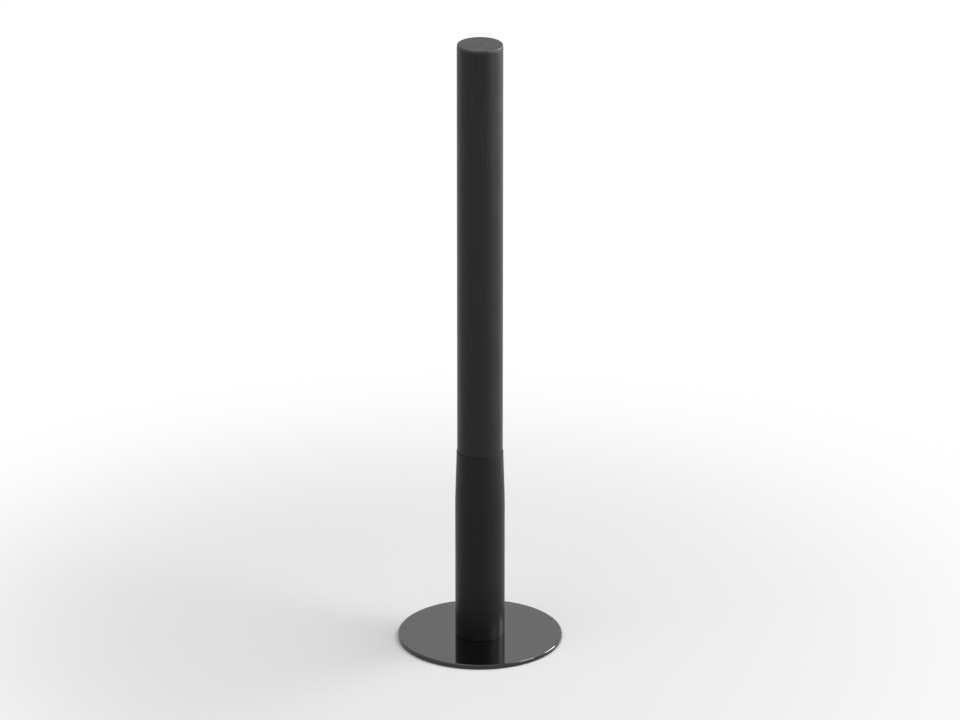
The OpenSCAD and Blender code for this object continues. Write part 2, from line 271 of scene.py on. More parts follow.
class PoleStage(PropertyGroup):
    """Camera, lamps and floor around the pole"""

    camera_turn: FloatProperty(
        name="Camera Turn", description="Turn of the camera around the pole from the front",
        default=radians(45.5), unit="ROTATION")
    camera_reach: FloatProperty(
        name="Camera Reach", description="Level distance from the pole's axis to the camera",
        default=4.6, min=0.5, unit="LENGTH")
    camera_height: FloatProperty(
        name="Camera Height", description="Height of the camera above the resting plane",
        default=2.03, unit="LENGTH")
    aim_height: FloatProperty(
        name="Aim Height", description="Height on the pole's axis that the camera looks at",
        default=0.23, unit="LENGTH")
    focal_length: FloatProperty(
        name="Focal Length", description="Camera's focal length",
        default=243.0, min=20, unit="CAMERA")
    room_light: FloatProperty(
        name="Room Light", description="Strength of the even light from all around",
        default=0.45, min=0)
    key_power: FloatProperty(
        name="Key Lamp", description="Power of the wide lamp high on the right",
        default=38.0, min=0, unit="POWER")
    rim_power: FloatProperty(
        name="Rim Lamp",
        description="Power of the low lamp that only gloss mirrors, twice that of the side lamp",
        default=62.0, min=0, unit="POWER")
    top_power: FloatProperty(
        name="Top Lamp", description="Power of the wide lamp above the left side",
        default=14.0, min=0, unit="POWER")
    floor_tone: ColourProperty(
        name="Floor", description="Colour of the pale floor",
        default=(0.74, 0.74, 0.74))
    floor_fade: FloatProperty(
        name="Floor Fade", description="Distance from the pole at which the floor is white",
        default=0.62, min=0.1, unit="LENGTH")


def span(node):
    """Outer radius, lowest and highest height of a node in millimetres, from its box."""
    low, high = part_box(node)
    return max(-low.x, -low.y) / MM, low.z / MM, high.z / MM


def angles_of(columns):
    """Angles of evenly spaced columns around the axis."""
    return np.arange(columns) * (TURN / columns)


def thread_angles(shape):
    """Angles around a large threaded piece, two columns for every three of a plain one."""
    return angles_of(shape.columns * 2 // 3)


def rounded(corners, steps=6):
    """Closed outline with rounded corners, as points of radius and height.

    A corner is its radius, its height and its edge's radius. It becomes an arc that touches both
    of its sides, starts at the edge's radius over the tangent of half the corner's angle from the
    corner, and turns by as much as the outline turns there. One more point on each side, just
    past the arc, keeps its shading flat. A corner without an edge stays one point. The points
    are complex numbers here, with the height as the imaginary part.
    """
    radius, height, size = np.asarray(corners, float).T
    corner = radius + 1j * height
    back, ahead = np.roll(corner, 1) - corner, np.roll(corner, -1) - corner
    shorter = np.minimum(abs(back), abs(ahead))
    back, ahead = back / abs(back), ahead / abs(ahead)
    turn = np.angle(-ahead / back)
    half = (np.pi - abs(turn)) / 2
    size = np.minimum(size, EDGE_SHARE * shorter * np.tan(half))
    touch = size / np.tan(half)
    flat = FLAT_SHARE * np.minimum(size, touch)
    first = corner + back * touch
    to_centre = -1j * np.sign(turn) * back * size
    swing = np.exp(1j * turn[:, None] * np.linspace(0, 1, steps + 1))
    arc = first[:, None] + to_centre[:, None] * (1 - swing)
    before, after = first + back * flat, corner + ahead * (touch + flat)
    points = np.concatenate([before[:, None], arc, after[:, None]], axis=1).ravel()
    points = points[abs(points - np.roll(points, 1)) > SAME_SPOT]
    return np.stack([points.real, points.imag], axis=1)


def block(inner, outer, low, high, edges):
    """Corners of a four-sided section from its inner lower one, with one edge or four."""
    corners = ((inner, low), (outer, low), (outer, high), (inner, high))
    return [(*corner, edge) for corner, edge in zip(corners, np.broadcast_to(edges, 4))]


def filled(outline, step):
    """Closed outline with points added along its long sides, about a step apart."""
    path = np.vstack([outline, outline[:1]])
    travel = np.concatenate([[0], np.cumsum(np.hypot(*np.diff(path, axis=0).T))])
    extra = np.arange(step, travel[-1], step)
    after = np.searchsorted(travel, extra)
    gap = np.minimum(travel[after] - extra, extra - travel[after - 1])
    spots = np.sort(np.concatenate([travel[:-1], extra[gap > step * GAP_SHARE]]))
    return np.stack([np.interp(spots, travel, side) for side in path.T], axis=1)


def plain(outline):
    """Rows of radius and height for a stretch that is the same all around."""
    return np.asarray(outline, float).T[:, :, None]


def side_of(corners, steps=6):
    """Plain rows of a rounded outline, less its two end corners.

    Those have no edge, and only give their neighbours a direction.
    """
    return plain(rounded(corners, steps)[1:-1])


def thread_drop(height, angles, pitch):
    """How far the surface of a right-hand thread lies below its crest.

    The height in pitches less the angle in turns says where a point is in the thread. The crest
    is flat for an eighth of the pitch and the root for a quarter. The flank between them is the
    mean of a straight line and half a cosine wave, which rounds where they meet.
    """
    place = np.abs((height / pitch - angles / TURN) % 1 - 0.5) * 2
    flank = np.clip((place - THREAD_CREST) / (1 - THREAD_CREST - THREAD_ROOT), 0, 1)
    soft = (1 - np.cos(np.pi * flank)) / 2
    return pitch * THREAD_DEPTH * (flank + soft) / 2


def threaded(crest, pitch, low, high, angles, rows):
    """Rows of radius and height for a threaded stretch, from its lower to its upper end."""
    count = int(round((high - low) / pitch * rows)) + 1
    height = np.linspace(low, high, count)[:, None]
    return crest - thread_drop(height, angles, pitch), height


def screw_thread(crest, pitch, low, high, angles, rows, bevel, root, run):
    """Rows of a screw's thread, which deepens from a root over a run and has a bevel at its tip.

    A run upwards is positive and ends at the upper end. At the tip the thread is no wider than
    the crest less the bevel.
    """
    radius, height = threaded(crest, pitch, low, high, angles, rows)
    radius = crest - (crest - radius) * np.clip((height - root) / run, 0, 1)
    tip = high if run > 0 else low
    return np.minimum(radius, crest - bevel + np.abs(height - tip)), height


def tapped(crest, pitch, low, high, angles, rows, sink):
    """Rows of a threaded bore from its upper to its lower end, opened by a cone at both ends.

    The bore follows the thread of the screw in it, a little outside it. At an end it is at least
    as wide as the crest and the sink together, less the distance from that end.
    """
    radius, height = threaded(crest + SEAT_CLEAR, pitch, low, high, angles, rows)
    mouth = crest + sink - np.minimum(height - low, high - height)
    return np.maximum(radius, mouth)[::-1], height[::-1]


def hexagon(angles, key):
    """Radius of a hexagon: half its width across the flats over the cosine from the flat."""
    return key / 2 / np.cos(angles % (TURN / 6) - TURN / 12)


def key_socket(angles, key, face, depth, mouth, point):
    """Rows of a hexagon socket in a lower face, from its point down to its bevelled mouth."""
    flat = hexagon(angles, key)
    height = np.array([face + depth + point, face + depth, face + mouth, face])
    return np.stack([0 * flat, flat, flat, flat + mouth]), height[:, None]


def faces_of(rows, columns, rows_wrap, columns_wrap=True):
    """Four-sided faces of a grid of points that is stored row by row."""
    row = np.arange(rows if rows_wrap else rows - 1)[:, None]
    column = np.arange(columns if columns_wrap else columns - 1)
    next_row, next_column = (row + 1) % rows, (column + 1) % columns
    corners = (row, column), (row, next_column), (next_row, next_column), (next_row, column)
    return np.stack([r * columns + c for r, c in corners], axis=-1).reshape(-1, 4)


def shell(stretches, angles, closed):
    """Surface around the axis from rows of radius and height, as points and faces.

    A point lies at the radius times the cosine and the sine of its column's angle, and at its
    height. A closed shell joins its last row to its first.
    """
    radius, height = (np.concatenate([part + 0 * angles for part in parts])
                      for parts in zip(*stretches))
    points = np.stack([radius * np.cos(angles), radius * np.sin(angles), height], axis=-1)
    return points.reshape(-1, 3), faces_of(*radius.shape, closed)


def turned(outline, columns, closed=True):
    """Surface of an outline that is turned around the axis."""
    return shell([plain(outline)], angles_of(columns), closed)


def lathed(corners, columns, step, steps=6, closed=True):
    """Surface of a rounded outline that is turned around the axis, in rows a step apart."""
    return turned(filled(rounded(corners, steps), step), columns, closed)


def rod(radius, low, high, columns, edge=0.0):
    """Plain round rod on the axis with rounded edges."""
    corners = block(0, radius, low, high, edges=(0, edge, edge, 0))
    return turned(rounded(corners), columns, closed=False)


def crossed(surface):
    """Two copies of a rod along X and Y, one and two spacings above the upper tube's foot."""
    points, faces = surface
    foot = span("upper_tube")[1]
    return [(np.roll(points, place, axis=1) + (0, 0, foot + place * PIN_SPACING), faces)
            for place in (1, 2)]


def pin_holes():
    """Crossed rods that cut the holes for the pins."""
    return crossed(rod(PIN_R + SEAT_CLEAR, -PIN_HOLE_REACH, PIN_HOLE_REACH, PIN_COLUMNS))


def around(surface, count, distance):
    """Copies of a surface in a circle around the axis, each turned towards it."""
    points, faces = surface
    spots = (points[:, 0] + distance + 1j * points[:, 1]) * np.exp(1j * angles_of(count))[:, None]
    copies = np.stack([spots.real, spots.imag, points[:, 2] + 0 * spots.real], axis=-1)
    shift = np.arange(count)[:, None, None] * len(points)
    return copies.reshape(-1, 3), (faces + shift).reshape(-1, faces.shape[1])


def make_object(name, data):
    """Object in the scene for a mesh, a lamp or a camera."""
    made = bpy.data.objects.new(name, data)
    bpy.context.scene.collection.objects.link(made)
    return made


def mesh_of(name, shells):
    """Mesh of surfaces, in metres, in which points on one spot are merged."""
    starts = np.cumsum([0] + [len(points) for points, _ in shells[:-1]])
    points = np.concatenate([points for points, _ in shells]) * MM
    faces = np.concatenate([faces + start for (_, faces), start in zip(shells, starts)])
    mesh = bpy.data.meshes.new(name)
    mesh.vertices.add(len(points))
    mesh.vertices.foreach_set("co", points.ravel().astype(np.float32))
    mesh.loops.add(faces.size)
    mesh.loops.foreach_set("vertex_index", faces.ravel().astype(np.int32))
    mesh.polygons.add(len(faces))
    mesh.polygons.foreach_set("loop_start", np.arange(0, faces.size, 4, dtype=np.int32))
    mesh.update(calc_edges=True)
    work = bmesh.new()
    work.from_mesh(mesh)
    bmesh.ops.remove_doubles(work, verts=work.verts, dist=SAME_SPOT * MM)
    work.to_mesh(mesh)
    work.free()
    return mesh


def cut_away(piece, shells):
    """Cut closed surfaces out of a piece, and keep the result as its mesh."""
    tool = make_object("cutting_tool", mesh_of("cutting_tool", shells))
    change = piece.modifiers.new("Cut", "BOOLEAN")
    change.operation = "DIFFERENCE"
    change.solver = "EXACT"
    change.object = tool
    graph = bpy.context.evaluated_depsgraph_get()
    result = bpy.data.meshes.new_from_object(piece.evaluated_get(graph))
    piece.modifiers.clear()
    before, tool_mesh = piece.data, tool.data
    piece.data = result
    surface = bmesh.new()
    surface.from_mesh(result)
    bmesh.ops.dissolve_degenerate(surface, dist=SLIVER * MM, edges=surface.edges)
    surface.to_mesh(result)
    surface.free()
    bpy.data.objects.remove(tool)
    bpy.data.meshes.remove(tool_mesh)
    bpy.data.meshes.remove(before)
    result.name = piece.name
    if not len(result.polygons):
        raise RuntimeError(f"cutting {piece.name} left nothing of it")


def add(tree, kind, inputs=None, **settings):
    """Shader node with its settings, and each input set to a value or joined to an output."""
    made = tree.nodes.new("ShaderNode" + kind)
    for key, value in settings.items():
        setattr(made, key, value)
    for key, value in (inputs or {}).items():
        if isinstance(value, bpy.types.NodeSocket):
            tree.links.new(value, made.inputs[key])
        else:
            made.inputs[key].default_value = value
    return made


def empty_tree(owner):
    """Node tree of a new material or world, without nodes."""
    owner.use_nodes = True
    owner.node_tree.nodes.clear()
    return owner.node_tree


def start_material(name):
    """Empty material: itself, its node tree and the Object coordinates."""
    material = bpy.data.materials.new(name)
    tree = empty_tree(material)
    return material, tree, add(tree, "TexCoord").outputs["Object"]


def end_material(material, colour, roughness, normal, metallic=0.0, specular=0.5):
    """The material once its shader takes a colour, a roughness and a surface."""
    tree = material.node_tree
    shader = add(tree, "BsdfPrincipled", {
        "Base Color": colour, "Roughness": roughness, "Normal": normal,
        "Metallic": metallic, "Specular IOR Level": specular})
    add(tree, "OutputMaterial", {"Surface": shader.outputs["BSDF"]})
    return material


def noise(tree, place, spots, detail):
    """Noise from 0 to 1 with a number of spots to the metre, and finer layers within them."""
    made = add(tree, "TexNoise", {"Vector": place, "Scale": spots, "Detail": detail})
    return made.outputs["Fac"]


def carried(tree, value, source, target):
    """Value carried from the source's range to the target's, and held at the ends."""
    made = add(tree, "MapRange", {
        "Value": value, "From Min": source[0], "From Max": source[1],
        "To Min": target[0], "To Max": target[1]})
    return made.outputs["Result"]


def arithmetic(tree, operation, one, two):
    """Result of one sum on two values."""
    made = add(tree, "Math", {0: one, 1: two}, operation=operation)
    return made.outputs["Value"]


def toned(tree, factor, one, two):
    """Colour between two tones of a finish."""
    made = add(tree, "Mix", {0: factor, 6: one, 7: two}, data_type="RGBA")
    return made.outputs[2]


def raised(tree, height, depth, below=None):
    """Surface raised by a pattern, up to a depth in metres, on top of another if one is given."""
    inputs = {"Height": height, "Distance": depth}
    if below is not None:
        inputs["Normal"] = below
    return add(tree, "Bump", inputs).outputs["Normal"]


def shades(colour, *shares):
    """Tones of a colour with full alpha, each by one share or by a share for each channel."""
    return [(*np.multiply(colour, share), 1.0) for share in shares]


def streaked(tree, place, spots, turn=0.0):
    """Noise in streaks, with spots to the metre along X, Y and Z. The pattern can be turned."""
    stretched = add(tree, "Mapping", {
        "Vector": place, "Rotation": (0.0, 0.0, turn), "Scale": spots})
    return noise(tree, stretched.outputs["Vector"], spots=1.0, detail=2.0)


def rings_of(tree, place, spots):
    """Noise in rings around the axis, as a turning tool leaves them.

    The pattern depends on the distance from the axis and on the height alone.
    """
    flat = add(tree, "VectorMath", {0: place, 1: (1.0, 1.0, 0.0)}, operation="MULTIPLY")
    reach = add(tree, "VectorMath", {0: flat.outputs["Vector"]}, operation="LENGTH")
    parts = add(tree, "SeparateXYZ", {"Vector": place})
    spot = add(tree, "CombineXYZ", {"X": reach.outputs["Value"], "Y": parts.outputs["Z"]})
    return noise(tree, spot.outputs["Vector"], spots, detail=2.0)


def band(tree, place, low, high, fade):
    """Mask that is 1 between two heights and falls to 0 past them, in metres."""
    height = add(tree, "SeparateXYZ", {"Vector": place}).outputs["Z"]
    rise = carried(tree, height, (low - fade, low), (0.0, 1.0))
    fall = carried(tree, height, (high, high + fade), (1.0, 0.0))
    return arithmetic(tree, "MULTIPLY", rise, fall)


def satin_coat(name, colour, specular, worn):
    """Black satin coat: fine grain, drawn lines, patches of gloss, and rub marks in worn bands.

    A worn band is its lowest and highest height and the length over which it fades, in metres,
    and how strongly the coat is rubbed in it.
    """
    material, tree, place = start_material(name)
    patches = noise(tree, place, spots=42.0, detail=4.0)
    dark, light, bare = shades(colour, 0.85, 1.15, 3.2)
    colour = toned(tree, patches, dark, light)
    base = bpy.context.scene.pole_finish.coat_roughness
    roughness = carried(tree, patches, NOISE_RANGE, (base - 0.03, base + 0.04))
    drawn = streaked(tree, place, spots=(640.0, 640.0, 9.0))
    drawn = carried(tree, drawn, (0.35, 0.65), (-0.025, 0.025))
    roughness = arithmetic(tree, "ADD", roughness, drawn)
    rubs = streaked(tree, place, spots=(1500.0, 1500.0, 26.0))
    rubs = carried(tree, rubs, (0.56, 0.68), (0.0, 1.0))
    for low, high, fade, share in worn:
        mark = arithmetic(tree, "MULTIPLY", rubs, band(tree, place, low, high, fade))
        mark = arithmetic(tree, "MULTIPLY", mark, share)
        colour = toned(tree, mark, colour, bare)
        roughness = arithmetic(tree, "SUBTRACT", roughness, arithmetic(tree, "MULTIPLY", mark, 0.1))
    grain = raised(tree, noise(tree, place, spots=560.0, detail=2.0), 0.03 * MM)
    normal = raised(tree, noise(tree, place, spots=2300.0, detail=2.0), 0.022 * MM, grain)
    return end_material(material, colour, roughness, normal, specular=specular)


def gloss_lacquer(name, colour):
    """Deep black lacquer: a near mirror with a faint peel, and fine wiping marks in its gloss."""
    material, tree, place = start_material(name)
    patches = noise(tree, place, spots=55.0, detail=3.0)
    colour = toned(tree, patches, *shades(colour, 0.9, 1.15))
    wipes = streaked(tree, place, spots=(90.0, 2200.0, 90.0), turn=0.6)
    roughness = arithmetic(tree, "ADD", carried(tree, patches, NOISE_RANGE, (0.022, 0.038)),
                           carried(tree, wipes, (0.6, 0.75), (0.0, 0.015)))
    peel = raised(tree, noise(tree, place, spots=420.0, detail=1.0), 0.0022 * MM)
    return end_material(material, colour, roughness, peel, specular=0.64)


def moulded(name, colour, roughness, spots, depth, specular=0.4):
    """Moulded rubber or plastic: an even fine grain, and slow changes of tone and gloss."""
    material, tree, place = start_material(name)
    patches = noise(tree, place, spots=60.0, detail=4.0)
    colour = toned(tree, patches, *shades(colour, 0.86, 1.12))
    rough = carried(tree, patches, NOISE_RANGE, (roughness - 0.05, roughness + 0.06))
    grain = raised(tree, noise(tree, place, spots, detail=2.0), depth)
    return end_material(material, colour, rough, grain, specular=specular)


def plated(name, colour):
    """Zinc plating on steel: bright and slightly clouded, with a warm cast in places."""
    material, tree, place = start_material(name)
    clouds = noise(tree, place, spots=160.0, detail=4.0)
    colour = toned(tree, clouds, *shades(colour, (0.9, 0.92, 0.95), (1.06, 1.03, 0.94)))
    roughness = carried(tree, clouds, NOISE_RANGE, (0.24, 0.36))
    grain = raised(tree, noise(tree, place, spots=3800.0, detail=2.0), 0.0018 * MM)
    return end_material(material, colour, roughness, grain, metallic=1.0)


def machined(name, colour, tarnish):
    """Bare turned metal: fine tool rings in its surface and gloss, and a little tarnish."""
    material, tree, place = start_material(name)
    rings = rings_of(tree, place, spots=5200.0)
    clouds = noise(tree, place, spots=130.0, detail=4.0)
    colour = toned(tree, clouds, *shades(colour, 1.0 - tarnish, 1.0))
    roughness = arithmetic(tree, "ADD", carried(tree, rings, NOISE_RANGE, (0.2, 0.34)),
                           carried(tree, clouds, (0.4, 0.7), (0.0, 0.08)))
    grain = raised(tree, rings, 0.005 * MM)
    return end_material(material, colour, roughness, grain, metallic=1.0)


def tube_coat(name, node, finish):
    """Satin coat of a tube. The two differ in their tone, and in where they are worn."""
    _, low, lip = (value * MM for value in span("lower_tube"))
    top = span("upper_tube")[2] * MM
    if node == "lower_tube":
        return satin_coat(name, finish.lower_coat, specular=0.18, worn=[
            (low, lip, 0.01, 0.12), (low, low + 0.004, 0.01, 0.25)])
    return satin_coat(name, finish.upper_coat, specular=0.24, worn=[
        (lip, top, 0.01, 0.12), (low, lip - 0.004, 0.008, 0.9), (top - 0.1, top, 0.03, 0.5)])


def finish_of(node):
    """Material of a node's slot, made once. Each tube has its own."""
    finish = bpy.context.scene.pole_finish
    slot = SLOT_OF[node]
    name = node + "_coat" if slot == "black_coat" else slot + "_finish"
    if name in bpy.data.materials:
        return bpy.data.materials[name]
    makers = {
        "black_coat": lambda: tube_coat(name, node, finish),
        "gloss_black": lambda: gloss_lacquer(name, finish.lacquer),
        "black_rubber": lambda: moulded(
            name, finish.rubber, 0.78, spots=2000.0, depth=0.04 * MM, specular=0.3),
        "black_plastic": lambda: moulded(
            name, finish.plastic, 0.48, spots=2400.0, depth=0.022 * MM),
        "pale_plastic": lambda: moulded(name, finish.nylon, 0.42, spots=1800.0, depth=0.008 * MM),
        "zinc_steel": lambda: plated(name, finish.zinc),
        "turned_aluminium": lambda: machined(name, finish.aluminium, tarnish=0.08),
        "brass_nut": lambda: machined(name, finish.brass, tarnish=0.22),
    }
    return makers[slot]()


def make_piece(name, node, shells, cuts=()):
    """Piece that stands for a node, rides on its body and takes its finish."""
    piece = make_object(name, mesh_of(name, shells))
    if cuts:
        cut_away(piece, cuts)
    piece.data.shade_smooth()
    piece.data.set_sharp_from_angle(angle=SHARP_ANGLE)
    piece.data.materials.clear()
    piece.data.materials.append(finish_of(node))
    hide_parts(node)
    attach(piece, BODY_OF[node])


def make_ring(name, node, hole, columns, edge, step=20.0):
    """Piece that fills its node's box around a hole, with rounded edges."""
    make_piece(name, node, [lathed(block(hole, *span(node), edge), columns, step)])


class PoleStep:
    """What the operators share: each can be undone"""

    bl_options = {"REGISTER", "UNDO"}


class SPEAKER_POLE_OT_base_disc(PoleStep, Operator):
    """Lacquered disc with a rounded edge, a hole for the stud and four countersinks below"""

    bl_idname = "speaker_pole.base_disc"
    bl_label = "Base Disc"

    def execute(self, context):
        shape = context.scene.pole_shape
        outer, low, high = span("base_disc")
        fine, upper = shape.disc_fine_edge / MM, shape.disc_edge / MM
        section = block(COLLAR_R + HOLE_CLEAR, outer, low, high, (fine, fine, upper, fine))
        body = lathed(section, shape.columns * 4 // 3, step=6.0, steps=10)
        head, neck = SCREW_HEAD_R + SEAT_CLEAR, SCREW_R + HOLE_CLEAR
        start, rim, end = low - CUT_PAST, low + SCREW_RIM_H, high + CUT_PAST
        sink = turned([(0, start), (head, start), (head, rim), (neck, rim + head - neck),
                       (neck, end), (0, end)], SINK_COLUMNS, closed=False)
        make_piece("lacquered_disc", "base_disc", [body],
                   [around(sink, SCREW_COUNT, SCREW_CIRCLE_R)])
        return {"FINISHED"}


class SPEAKER_POLE_OT_rubber_rings(PoleStep, Operator):
    """Pad under the disc, stop above the stud's nut, and the drag ring on the lock's sleeve"""

    bl_idname = "speaker_pole.rubber_rings"
    bl_label = "Rubber Rings"

    def execute(self, context):
        shape = context.scene.pole_shape
        make_ring("rubber_pad", "base_pad", PAD_HOLE_R, shape.columns, edge=0.15, step=6.0)
        make_ring("rubber_stop", "stop_buffer", BUFFER_HOLE_R, shape.columns,
                  edge=shape.stop_edge / MM)
        outer, low, high = span("drag_ring")
        angles = angles_of(CORD_COLUMNS)
        radius = outer - CORD_R + CORD_R * np.cos(angles)
        height = (low + high) / 2 + CORD_R * np.sin(angles)
        cord = turned(np.stack([radius, height], axis=1), shape.columns)
        make_piece("rubber_drag_ring", "drag_ring", [cord])
        return {"FINISHED"}


class SPEAKER_POLE_OT_disc_screws(PoleStep, Operator):
    """Countersunk screws with hexagon sockets that hold the disc to the foot plug"""

    bl_idname = "speaker_pole.disc_screws"
    bl_label = "Disc Screws"

    def execute(self, context):
        _, low, high = span("disc_screws")
        angles = angles_of(SCREW_COLUMNS)
        rim = low + SCREW_RIM_H
        neck = rim + SCREW_HEAD_R - SCREW_R
        socket = key_socket(angles, SCREW_KEY, low, SCREW_KEY_DEPTH, mouth=0.12, point=0.4)
        head = side_of([(0, low, 0), (SCREW_HEAD_R, low, 0.08), (SCREW_HEAD_R, rim, 0.1),
                        (SCREW_R, neck, 0)], steps=3)
        thread = screw_thread(SCREW_R, SCREW_PITCH, neck, high, angles, SCREW_ROWS, SCREW_BEVEL,
                              root=neck, run=2 * SCREW_PITCH)
        screw = shell([socket, head, thread, plain([(0, high)])], angles, closed=False)
        make_piece("countersunk_screws", "disc_screws",
                   [around(screw, SCREW_COUNT, SCREW_CIRCLE_R)])
        return {"FINISHED"}


class SPEAKER_POLE_OT_mount_stud(PoleStep, Operator):
    """Stud with a coarse thread for the cabinet, a collar in the disc and a finer thread above"""

    bl_idname = "speaker_pole.mount_stud"
    bl_label = "Mounting Stud"

    def execute(self, context):
        shape = context.scene.pole_shape
        crest, low, high = span("mount_stud")
        shoulder = span("base_disc")[2]
        angles, rows = thread_angles(shape), shape.thread_rows
        free = screw_thread(crest, STUD_PITCH, low, -STUD_LAND, angles, rows, STUD_BEVEL,
                            root=0.0, run=-STUD_PITCH)
        collar = side_of([(crest, -STUD_LAND, 0), (crest, 0, 0.15), (COLLAR_R, 0, 0.1),
                          (COLLAR_R, shoulder, 0.15), (0, shoulder, 0)])
        tail = screw_thread(TAIL_R, TAIL_PITCH, shoulder, high, angles, rows, TAIL_BEVEL,
                            root=shoulder - TAIL_PITCH, run=TAIL_PITCH)
        stretches = [plain([(0, low)]), free, collar, tail, plain([(0, high)])]
        make_piece("threaded_stud", "mount_stud", [shell(stretches, angles, closed=False)])
        return {"FINISHED"}


class SPEAKER_POLE_OT_foot_plug(PoleStep, Operator):
    """Turned plug in the lower tube's foot, tapped for the stud's tail and the disc screws"""

    bl_idname = "speaker_pole.foot_plug"
    bl_label = "Foot Plug"

    def execute(self, context):
        shape = context.scene.pole_shape
        outer, low, high = span("foot_plug")
        angles = thread_angles(shape)
        side = side_of(block(TAIL_R, outer, low, high, (0, 0.3, 0.5, 0)))
        bore = tapped(TAIL_R, TAIL_PITCH, low, high, angles, shape.thread_rows, sink=0.6)
        end = span("disc_screws")[2] + HOLE_SPARE
        hole = rod(SCREW_R + SEAT_CLEAR, low - CUT_PAST, end, HOLE_COLUMNS)
        make_piece("tapped_foot_plug", "foot_plug", [shell([side, bore], angles, closed=True)],
                   [around(hole, SCREW_COUNT, SCREW_CIRCLE_R)])
        return {"FINISHED"}


class SPEAKER_POLE_OT_lock_washer(PoleStep, Operator):
    """Split spring washer, pressed flat under the stud's nut"""

    bl_idname = "speaker_pole.lock_washer"
    bl_label = "Lock Washer"

    def execute(self, context):
        outer, low, high = span("lock_washer")
        section = rounded(block(TAIL_R + HOLE_CLEAR, outer, low, high, 0.25), steps=4)
        radius, height = section.T[:, :, None]
        # The split's two ends stand half its width off the X axis, and lean with the height
        lean = SPLIT_LEAN * (height - (low + high) / 2)
        start = np.arcsin((WASHER_SPLIT / 2 + lean) / radius)
        end = TURN - np.arcsin((WASHER_SPLIT / 2 - lean) / radius)
        angle = start + (end - start) * np.linspace(0, 1, SPLIT_COLUMNS)
        points = np.stack(
            [radius * np.cos(angle), radius * np.sin(angle), height + 0 * angle], axis=-1)
        # Faces to its middle close each end
        ends = points[:, [0, -1]].mean(axis=0) + 0 * points[:, [0, -1]]
        points = np.concatenate([ends[:, :1], points, ends[:, 1:]], axis=1)
        faces = faces_of(*points.shape[:2], rows_wrap=True, columns_wrap=False)
        make_piece("split_washer", "lock_washer", [(points.reshape(-1, 3), faces)])
        return {"FINISHED"}


class SPEAKER_POLE_OT_stud_nut(PoleStep, Operator):
    """Hexagon nut with bevelled corners on the stud's tail"""

    bl_idname = "speaker_pole.stud_nut"
    bl_label = "Stud Nut"

    def execute(self, context):
        shape = context.scene.pole_shape
        _, low, high = span("stud_nut")
        angles = angles_of(NUT_COLUMNS)
        bevel = np.linspace(0, NUT_BEVEL_H, NUT_BEVEL_ROWS)
        height = np.concatenate([low + bevel, high - bevel[::-1]])[:, None]
        # The bevel is a cone that starts just inside the flats and widens away from each face
        inward = np.minimum(height - low, high - height)
        cone = NUT_KEY / 2 - NUT_FACE_INSET + inward * NUT_BEVEL_SLOPE
        side = (np.minimum(hexagon(angles, NUT_KEY), cone), height)
        bore = tapped(TAIL_R, TAIL_PITCH, low, high, angles, shape.thread_rows, sink=0.5)
        make_piece("hexagon_nut", "stud_nut", [shell([side, bore], angles, closed=True)])
        return {"FINISHED"}


class SPEAKER_POLE_OT_lower_tube(PoleStep, Operator):
    """Lower tube whose upper end tapers to a thin lip around the sliding tube"""

    bl_idname = "speaker_pole.lower_tube"
    bl_label = "Lower Tube"

    def execute(self, context):
        shape = context.scene.pole_shape
        outer, low, high = span("lower_tube")
        tube = lathed([
            (BORE_R, low, 0.3), (outer, low, 0.35),
            (outer, high - TAPER_L, shape.taper_blend / MM),
            (BORE_R + LIP_WALL, high, 0.16), (BORE_R, high, 0.12),
        ], shape.columns, step=8.0, steps=8)
        make_piece("tapered_lower_tube", "lower_tube", [tube])
        return {"FINISHED"}


def groove(low, above):
    """Corners of a fine groove around the upper tube, with the radius of the tube above it."""
    root, high = SLIDE_R - GROOVE_DEPTH, low + GROOVE_W
    return [(SLIDE_R, low, 0.1), (root, low, 0.08), (root, high, 0.08), (above, high, 0.1)]


class SPEAKER_POLE_OT_upper_tube(PoleStep, Operator):
    """Sliding tube with fine grooves at the seam and at its height limit, and two crossed holes"""

    bl_idname = "speaker_pole.upper_tube"
    bl_label = "Upper Tube"

    def execute(self, context):
        shape = context.scene.pole_shape
        outer, low, high = span("upper_tube")
        seam, bevel = span("lower_tube")[2], UPPER_BEVEL
        tube = lathed([
            (UPPER_BORE_R, low, 0.2), (SLIDE_R - bevel, low, 0.15), (SLIDE_R, low + bevel, 0.15),
            *groove(seam - RAISE_MAX, above=SLIDE_R), *groove(seam, above=outer),
            (outer, high - bevel, 0.25), (outer - bevel, high, 0.2), (UPPER_BORE_R, high, 0.2),
        ], shape.columns, step=8.0)
        make_piece("sliding_upper_tube", "upper_tube", [tube], pin_holes())
        return {"FINISHED"}


class SPEAKER_POLE_OT_top_cap(PoleStep, Operator):
    """Moulded cap pressed into the upper tube, with a rounded head and a hollow skirt"""

    bl_idname = "speaker_pole.top_cap"
    bl_label = "Top Cap"

    def execute(self, context):
        shape = context.scene.pole_shape
        outer, low, high = span("top_cap")
        under, inner, gate = high - CAP_HEAD_T, PRESSED_R - CAP_WALL, high - GATE_DEPTH
        cap = lathed([
            (0, under, 0), (inner, under, 0.4), (inner, low, 0.3), (PRESSED_R, low, 0.5),
            (PRESSED_R, under, 0.1), (outer, under, 0.15), (outer, high, 0.8),
            (GATE_R, high, 0.15), (GATE_FLOOR_R, gate, 0.1), (0, gate, 0),
        ], shape.columns, step=4.0, closed=False)
        make_piece("moulded_cap", "top_cap", [cap])
        return {"FINISHED"}


